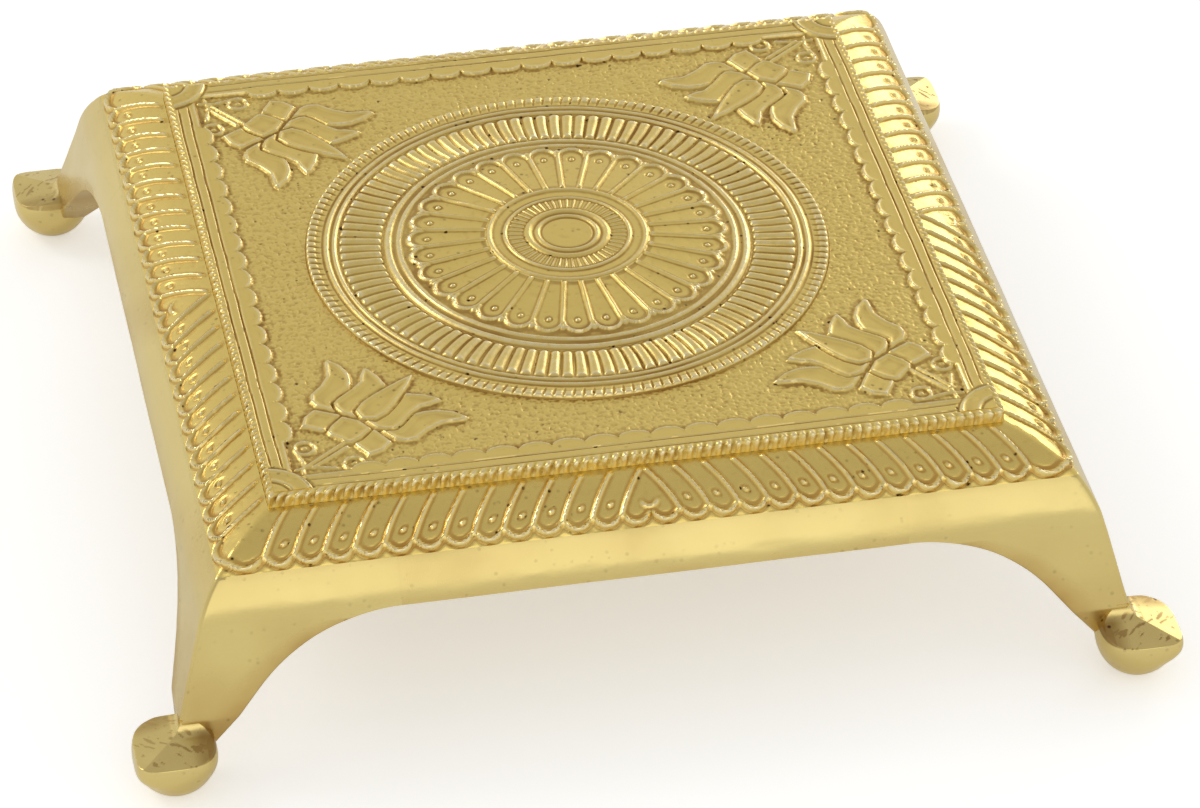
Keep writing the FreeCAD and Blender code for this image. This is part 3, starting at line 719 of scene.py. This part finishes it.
def leaf_relief(along, drop):
    """The leaves of one side, by the way along it from its middle and the way down from the rim. A rib leans
    outwards by a power of the way still to go, and hooks into a rim, which is a crescent between two circles.
    Before the rim is a bead in a dimple; the first and the last leaf of a half have none."""
    lean = LEAN * np.clip(1 - (drop - RIB_TOP) / (RIB_END - RIB_TOP), 0, 1) ** 1.25
    out = np.abs(along) + lean
    last = out > LEAVES * LEAF
    offset = np.where(last, (out - LEAVES * LEAF) / WIDE_LEAF - 0.5, (out / LEAF) % 1.0 - 0.5)
    size = np.where(last, WIDE_LEAF, LEAF)
    aside = offset * size
    to_rib = np.where(aside > 0, aside - size / 2, aside + size / 2)
    to_rib = np.where(out < LEAF / 2, LEAF, np.where(last & (aside > 0), LEAF, to_rib))
    body = ease(drop, RIB_TOP - 0.6, RIB_TOP + 0.8) * (1 - ease(drop, RIB_END - 0.6, RIB_END + 0.9))
    rib = 0.76 * bump(to_rib, 0.98) - 0.30 * bump(to_rib - 1.15, 0.45)
    rib = (rib - 0.12 * bump(to_rib + 1.2, 0.45)) * body
    ring_drop = LEAF_TIP - LEAF_RING
    stretched = aside * np.where(last, WIDE_STRETCH, 1.0)
    away = np.hypot(stretched, drop - ring_drop)
    lower = ease(drop, ring_drop - 0.8, ring_drop + 1.6)
    beyond = np.hypot(stretched, drop - (ring_drop - 0.9)) - 2.6
    rim = 1.05 * ease(np.minimum(LEAF_RING - away, beyond), -0.05, 0.95) * lower
    shade = (-0.22 * bump(beyond + 0.5, 0.55) - 0.20 * bump(away - LEAF_RING - 0.20, 0.36)) * lower
    bead = np.hypot(aside, drop - BEAD_DROP)
    beads = 0.52 * bump(bead, 0.85) - 0.20 * bump(bead - 0.95, 0.65)
    beads = np.where((out > LEAF) & ~last, beads, 0)
    curl = np.hypot(along, drop - CURL_DROP)
    curl = 0.50 * bump(curl - 2.0, 0.75) * ease(drop, CURL_DROP, 10.8)
    return np.maximum(rib, rim) + shade + beads + curl


def border_piece():
    """The border frame's dressed ring: the leaf relief along the border's normal, with the unevenness of the
    casting and level at both edges, then the ledge inside."""
    path = square_path(2 * (LEAVES + 1) * POINTS_A_LEAF + 1, 5, 1.2)
    under = SKIRT[(SKIRT[:, 1] < HEM[1]) & (SKIRT[:, 1] > SEAM)]
    skin = np.vstack([arc(RIM, HEM, 32.0, 33), under, [(SEAM_HALF, SEAM)]])
    run = np.concatenate([[0], np.cumsum(np.hypot(*np.diff(skin, axis=0).T))])
    along = path.places[:, None] * skin[None, :, 0]
    relief = leaf_relief(along, np.broadcast_to(run, along.shape))
    cast = path.sides[:, None] * 300 + run
    relief = relief + 0.05 * mottle(along, cast, 2.5, 51) + 0.03 * mottle(along, cast, 0.9, 52)
    relief = relief * ease(run, -0.1, 0.5) * (1 - ease(run, run[-1] - 0.12, run[-1]))
    hollow = hollowness(relief, (-2, -1, 1, 2), (True, False)) * 3.2
    normal = outward(skin)
    half = skin[:, 0] + normal[:, 0] * relief
    height = skin[:, 1] + normal[:, 1] * relief
    inside = (len(half), len(LEDGE))
    half = np.hstack([half, np.broadcast_to(LEDGE[:, 0], inside)])
    height = np.hstack([height, np.broadcast_to(LEDGE[:, 1], inside)])
    hollow = np.hstack([hollow, np.zeros(inside)])
    faces = quads(*half.shape, True, True)
    make_piece("leaf_border", round_square(path, half, height), faces[:, ::-1], hollow,
               leaf_brass, ["border_frame"])


border_piece()


# The apron.

APRON_COUNT = 90
# The skirt's inner side, and the two points of its lower edge.
INNER_SKIRT = np.array([(87.5, SEAM), (97.0, 46.4), (104.0, ARCH_TOP[1])])
LOWER_EDGE = ((108.6, ARCH_TOP[1]), (106.5, ARCH_TOP[1]))


def hand_polish(x, y, z):
    """How far hand polishing has left the skin in or out: two sizes of smooth unevenness, none at the seam
    with the border and none on the ankle."""
    wave = 0.09 * mottle(x * 0.7 + z, y * 0.7 - 0.6 * z, 13.0, 71) + 0.03 * mottle(x, y + 1.7 * z, 4.0, 72)
    return (wave - 0.06) * ease(SEAM - z, 0.0, 3.0) * ease(z, 15.0, 21.0)


def apron_piece(name, side):
    """The straight strip of apron under one side: its section, the same all along, closed at both ends."""
    skin = np.vstack([[(SEAM_HALF, SEAM)], SKIRT[SKIRT[:, 1] < SEAM]])
    section = np.vstack([skin, LOWER_EDGE, INNER_SKIRT[::-1]])
    along = np.linspace(-ARCH_HALF, ARCH_HALF, APRON_COUNT)[:, None]
    half = np.broadcast_to(section[:, 0], (APRON_COUNT, len(section)))
    height = np.broadcast_to(section[:, 1], half.shape)
    x, y = turned(along + half * 0, -half, side)
    outer = np.arange(len(section))[None, :] < len(skin)
    out_x, out_y = turned(0.0, -1.0, side)
    wave = hand_polish(x, y, height) * outer
    points = np.stack([x + out_x * wave, y + out_y * wave, height], -1)
    # Browner in random patches and towards the apron's lower edge.
    browning = 0.08 + 0.10 * mottle(x, y + height, 16.0, 73) + 0.12 * ease(height, ARCH_TOP[1] + 3.0, ARCH_TOP[1])
    faces = quads(*half.shape, False, True)
    make_piece(name, points, faces[:, ::-1], browning * outer, skin_brass, ["border_frame"], lid=True)


for number, name in enumerate(("front", "right", "back", "left")):
    apron_piece("apron_" + name, number)


# Legs and ball feet.

def rounded_loop(corners, radii, straight, bend):
    """A closed loop through corners (levels, corners, 2): a straight run, then a quadratic curve whose middle
    control is the corner, so that each corner is softened by its radius (levels, corners)."""
    def step(target):
        """Each corner moved towards its target by its radius, but never as far as half the way."""
        way = target - corners
        far = np.linalg.norm(way, axis=-1, keepdims=True)
        return corners + way / np.maximum(far, 1e-6) * np.minimum(radii[..., None], far * 0.45)

    start, end = step(np.roll(corners, 1, axis=1)), step(np.roll(corners, -1, axis=1))
    parts = []
    for index in range(corners.shape[1]):
        t = np.linspace(0, 1, bend)[None, :, None]
        a, b, c = start[:, index:index + 1], corners[:, index:index + 1], end[:, index:index + 1]
        parts.append((1 - t) ** 2 * a + 2 * t * (1 - t) * b + t * t * c)
        following = start[:, (index + 1) % corners.shape[1]][:, None]
        t = np.linspace(0, 1, straight[index] + 2)[None, 1:-1, None]
        parts.append(c * (1 - t) + following * t)
    return np.concatenate(parts, axis=1)


# The arch's corners: their radius, the slope that they run into, and how far down the leg's loops go.
CORNER_RADIUS, CORNER_SLOPE, LEG_END = 45, math.radians(50), 9.0
# The leg's inner side at the ankle, and at its end beside the arch and at the inner corner.
INNER_ANKLE, INNER_END, HEEL_END = 104.0, 108.8, 111.2
# Points of a leg's loop on the straight run after each of its six corners, and on each corner's curve.
STRAIGHTS, CORNER_BEND = (30, 30, 6, 14, 14, 6), 6


def leg_points():
    """Level loops down the leg: outer chevron, arch edges, inner chevron. The arch edge follows a circle,
    then a straight slope, and near the ball the inner corner draws outwards. With the loops come their levels
    and the arch edge at each."""
    top = np.linspace(SEAM, ARCH_TOP[1], 20)[:-1]
    bend = np.linspace(0, CORNER_SLOPE, 40)
    middle = ARCH_TOP[1] - CORNER_RADIUS * (1 - np.cos(bend))
    low = np.linspace(middle[-1], LEG_END, 34)[1:]
    level = np.concatenate([top, middle, low])
    slope_start = ARCH_HALF + CORNER_RADIUS * math.sin(CORNER_SLOPE)
    arch = np.concatenate([top * 0 + ARCH_HALF, ARCH_HALF + CORNER_RADIUS * np.sin(bend),
                           slope_start + (middle[-1] - low) / math.tan(CORNER_SLOPE)])
    outer = np.interp(level, np.concatenate([[ANKLE[1]], SKIRT[::-1, 1]]),
                      np.concatenate([[ANKLE[0]], SKIRT[::-1, 0]]))
    skirt_half, skirt_level = INNER_SKIRT[::-1].T
    inner = np.interp(level, (LEG_END, ANKLE[1], *skirt_level), (INNER_END, INNER_ANKLE, *skirt_half))
    heel = np.interp(level, (LEG_END, 16.5, *skirt_level), (HEEL_END, INNER_ANKLE, *skirt_half))
    inner = np.maximum(inner, np.minimum(arch + 0.4, INNER_END) * (arch > INNER_ANKLE - 0.5))
    corners = np.stack([
        np.stack([arch, outer], -1), np.stack([outer, outer], -1), np.stack([outer, arch], -1),
        np.stack([inner, arch], -1), np.stack([heel, heel], -1), np.stack([arch, inner], -1),
    ], axis=1)
    softened = 0.03 + ease(level, ARCH_TOP[1] - 0.2, ARCH_TOP[1] - 5.0)
    radii = softened[:, None] * np.array([0.9, 0, 0.9, 0.6, 0, 0.6]) + np.array([0, 1.1, 0, 0, 1.5, 0])
    return rounded_loop(corners, radii, STRAIGHTS, CORNER_BEND), level, arch


# The foot's crease, how far out its facets start there, and the cove that ends them at the ankle.
CREASE, FACET_START = 12.5, 126.3
COVE = arc((118.2, 14.3), (115.0, 17.5), 3.3, 14)
FOOT_COUNT = 160


def foot_points():
    """The ball foot as level sections. A section is a superellipse: a circle low down that grows squarer
    towards the crease, most of all at the outer corner. Above the crease the flank tapers, and two facets cut
    the section off: no further out than their line, which ends in the cove. The facets carry a stain in
    streaks, and painted shade that is darkest at their inner ends, towards the inside of the table."""
    centre, middle, radius = BALL
    low = middle - radius * np.cos(np.linspace(math.acos(middle / radius), 1.80, 44))
    upper = np.concatenate([np.linspace(low[-1], CREASE, 6)[1:], np.linspace(CREASE + 0.05, 14.3, 36),
                            np.linspace(14.4, 17.7, 28)])
    z = np.concatenate([low, upper])[:, None]
    angle = np.linspace(0, TURN, FOOT_COUNT, endpoint=False)[None, :]
    flank = np.sqrt(np.clip(radius ** 2 - (z - middle) ** 2, 0, None))
    widest = math.sqrt(radius ** 2 - (CREASE - middle) ** 2)
    tapered = widest - 0.30 * (z - CREASE) - 0.80 * np.clip(z - 13.8, 0, None)
    flank = np.where(z > CREASE, tapered, flank)
    outer = (np.cos(angle) > 0) & (np.sin(angle) > 0)
    power = 2 + (0.8 + 2.4 * outer) * ease(z, 4.5, 12.2)
    spread = (np.abs(np.cos(angle)) ** power + np.abs(np.sin(angle)) ** power) ** (-1 / power)
    limit = np.interp(z, np.concatenate([[CREASE - 0.01, CREASE], COVE[:, 1]]),
                      np.concatenate([[140.0, FACET_START], COVE[:, 0]]))
    x, y = centre + flank * spread * np.cos(angle), centre + flank * spread * np.sin(angle)
    x, y = np.minimum(x, limit), np.minimum(y, limit)
    streak = mottle((x + y) * 1.3, (x - y) * 0.35, 0.7, 81) + 0.9 * mottle(x, y, 3.0, 82)
    facet = ease(z, CREASE - 0.2, CREASE + 0.1) * ease(z, 16.0, 14.5)
    inner_end = ease(centre - 3.0 - np.minimum(x, y), 0.0, 4.0)
    # A stain in streaks, then painted shade over the facets, darkest at their inner ends where the leg and
    # the table shade them.
    stain_and_shade = facet * ease(streak, 0.60, 0.95)
    stain_and_shade = np.maximum(stain_and_shade, (0.10 + 0.40 * inner_end) * facet * ease(mottle(x, y, 5.0, 83), -0.8, 0.6))
    stain_and_shade = np.maximum(stain_and_shade, facet * ease(centre - 6.5 - np.minimum(x, y), 0.0, 1.5)
                       * ease(mottle(x, y, 1.5, 84), -0.8, 0.3))
    return x, y, z + x * 0, stain_and_shade


LEG_LOOP, LEG_LEVEL, LEG_ARCH = leg_points()
FOOT_X, FOOT_Y, FOOT_Z, FOOT_STAIN_AND_SHADE = foot_points()


def leg_and_foot(across, along, corner):
    """The leg and the ball foot of one corner: the back right one's points with their signs changed, and the
    faces turned round where that mirrors them. The skin is browner beside the arch and down at the ankle."""
    mirrored = across * along < 0
    x, y = LEG_LOOP[..., 0], LEG_LOOP[..., 1]
    z = np.broadcast_to(LEG_LEVEL[:, None], x.shape)
    wave = hand_polish(x * across, y * along, z)
    points = np.stack([(x + wave * (x > y - 1.5) * (x > 104.5)) * across,
                       (y + wave * (y > x - 1.5) * (y > 104.5)) * along, z], -1)
    to_arch = np.minimum(x, y) - LEG_ARCH[:, None]
    # Browner in random patches, beside the arch edge and lower down the leg.
    browning = 0.08 + 0.10 * mottle(x * across, y * along + z, 16.0, 73)
    browning = browning + 0.30 * ease(to_arch, 9.0, 0.0) * (z < 38.0) + 0.12 * ease(z, 30.0, 16.0)
    faces = quads(*x.shape, False, True)
    make_piece(corner + "_leg", points, faces if mirrored else faces[:, ::-1], browning, skin_brass,
               ["leg_" + corner], lid=True)
    points = np.stack([FOOT_X * across, FOOT_Y * along, FOOT_Z], -1)
    faces = quads(*FOOT_X.shape, False, True)
    make_piece(corner + "_ball_foot", points, faces[:, ::-1] if mirrored else faces, FOOT_STAIN_AND_SHADE, foot_brass,
               ["leg_" + corner], lid=True)


leg_and_foot(1, -1, "front_right")
leg_and_foot(1, 1, "back_right")
leg_and_foot(-1, 1, "back_left")
leg_and_foot(-1, -1, "front_left")


# Floor, light and camera.

FLOOR_CORNERS = ((-4, -4, 0), (4, -4, 0), (4, 4, 0), (-4, 4, 0))
FLOOR_TONE = (0.86, 0.86, 0.86, 1)
WHITE = (1, 1, 1, 1)
# How strongly the floor glows for the camera and, less, for glossy rays.
GLOW_SEEN, GLOW_MIRRORED = 0.42, 0.14
# Each lamp's name, its place and aim in metres, its edge in metres and its power in watts.
LAMPS = (
    ("window_right", (1.25, 1.5, 0.65), (0, 0, 0.05), 0.8, 4.2),
    ("window_left", (-1.4, 0.9, 1.4), (0, 0, 0.05), 0.7, 6.0),
    ("front_fill", (0.1, -1.9, 1.0), (0, 0, 0.03), 1.5, 3.6),
)
# The studio's grey, level with the table, part of the way up, and near straight above.
STUDIO_LEVEL, STUDIO_MIDDLE, STUDIO_ABOVE = 0.0, 0.62, 0.98
TONE_LEVEL, TONE_MIDDLE, TONE_ABOVE = (0.80, 0.80, 0.78, 1), (0.70, 0.69, 0.66, 1), (0.54, 0.53, 0.52, 1)
# The photo's view: the camera's place in metres, its turn in degrees, its lens and its sensor.
CAMERA_PLACE = (-0.227326, -1.125836, 0.862003)
CAMERA_TURN = (53.4293, -0.40156, -11.5392)
CAMERA_LENS, CAMERA_SENSOR, CAMERA_REACH = 169.057, 36.0, 20.0


def lay_floor():
    """The pale floor. Its glow makes it white for the camera and lets the metal mirror it, and its own
    shading keeps the table's shadow."""
    mesh = bpy.data.meshes.new("floor")
    mesh.from_pydata(FLOOR_CORNERS, [], [(0, 1, 2, 3)])
    floor = add_object("floor", mesh)
    plain = bpy.data.materials.new("pale_floor")
    plain.use_nodes = True
    tree = plain.node_tree
    shader = tree.nodes["Principled BSDF"]
    shader.inputs["Base Color"].default_value = FLOOR_TONE
    shader.inputs["Roughness"].default_value = 0.9
    shader.inputs["Specular IOR Level"].default_value = 0.0
    glow = node(tree, "ShaderNodeEmission")
    glow.inputs["Color"].default_value = WHITE
    rays = node(tree, "ShaderNodeLightPath")
    seen = node(tree, "ShaderNodeMath", operation="MULTIPLY")
    seen.inputs[1].default_value = GLOW_SEEN
    lift = node(tree, "ShaderNodeMath", operation="MULTIPLY_ADD")
    lift.inputs[1].default_value = GLOW_MIRRORED
    both = node(tree, "ShaderNodeAddShader")
    link(tree, rays.outputs["Is Camera Ray"], seen.inputs[0])
    link(tree, rays.outputs["Is Glossy Ray"], lift.inputs[0])
    link(tree, seen.outputs[0], lift.inputs[2])
    link(tree, lift.outputs[0], glow.inputs["Strength"])
    link(tree, shader.outputs[0], both.inputs[0])
    link(tree, glow.outputs[0], both.inputs[1])
    link(tree, both.outputs[0], tree.nodes["Material Output"].inputs["Surface"])
    mesh.materials.append(plain)


def hang_lamps():
    """Square area lamps, each turned so that it looks from its place along the way to its aim."""
    for name, spot, aim, size, power in LAMPS:
        lamp = bpy.data.lights.new(name, "AREA")
        lamp.shape = "SQUARE"
        lamp.size = size
        lamp.energy = power
        made = add_object(name, lamp)
        made.location = spot
        way = np.array(aim) - np.array(spot)
        flat = math.hypot(way[0], way[1])
        made.rotation_euler = (math.atan2(flat, -way[2]), 0, math.atan2(-way[0], way[1]))


def paint_studio():
    """The world: white for the camera, and for all other rays greys that darken from the level upwards."""
    world = bpy.data.worlds.new("studio")
    world.use_nodes = True
    bpy.context.scene.world = world
    tree = world.node_tree
    sky = tree.nodes["Background"]
    place = node(tree, "ShaderNodeTexCoord")
    parts = node(tree, "ShaderNodeSeparateXYZ")
    ramp = node(tree, "ShaderNodeValToRGB")
    ramp.color_ramp.elements[0].position = STUDIO_LEVEL
    ramp.color_ramp.elements[0].color = TONE_LEVEL
    ramp.color_ramp.elements[1].position = STUDIO_ABOVE
    ramp.color_ramp.elements[1].color = TONE_ABOVE
    ramp.color_ramp.elements.new(STUDIO_MIDDLE).color = TONE_MIDDLE
    link(tree, place.outputs["Generated"], parts.inputs[0])
    link(tree, parts.outputs["Z"], ramp.inputs["Fac"])
    link(tree, ramp.outputs["Color"], sky.inputs["Color"])
    sky.inputs["Strength"].default_value = 1.0
    white = node(tree, "ShaderNodeBackground")
    white.inputs["Color"].default_value = WHITE
    white.inputs["Strength"].default_value = 1.0
    rays = node(tree, "ShaderNodeLightPath")
    choose = node(tree, "ShaderNodeMixShader")
    link(tree, rays.outputs["Is Camera Ray"], choose.inputs[0])
    link(tree, sky.outputs[0], choose.inputs[1])
    link(tree, white.outputs[0], choose.inputs[2])
    link(tree, choose.outputs[0], tree.nodes["World Output"].inputs["Surface"])


def set_camera():
    """The camera of the photo's view."""
    view = bpy.data.cameras.new("photo_view")
    view.sensor_width = CAMERA_SENSOR
    view.lens = CAMERA_LENS
    view.clip_end = CAMERA_REACH
    camera = add_object("photo_view", view)
    camera.location = CAMERA_PLACE
    camera.rotation_euler = [math.radians(turn) for turn in CAMERA_TURN]
    bpy.context.scene.camera = camera


lay_floor()
hang_lamps()
paint_studio()
set_camera()
bpy.context.scene.view_settings.view_transform = "Standard"
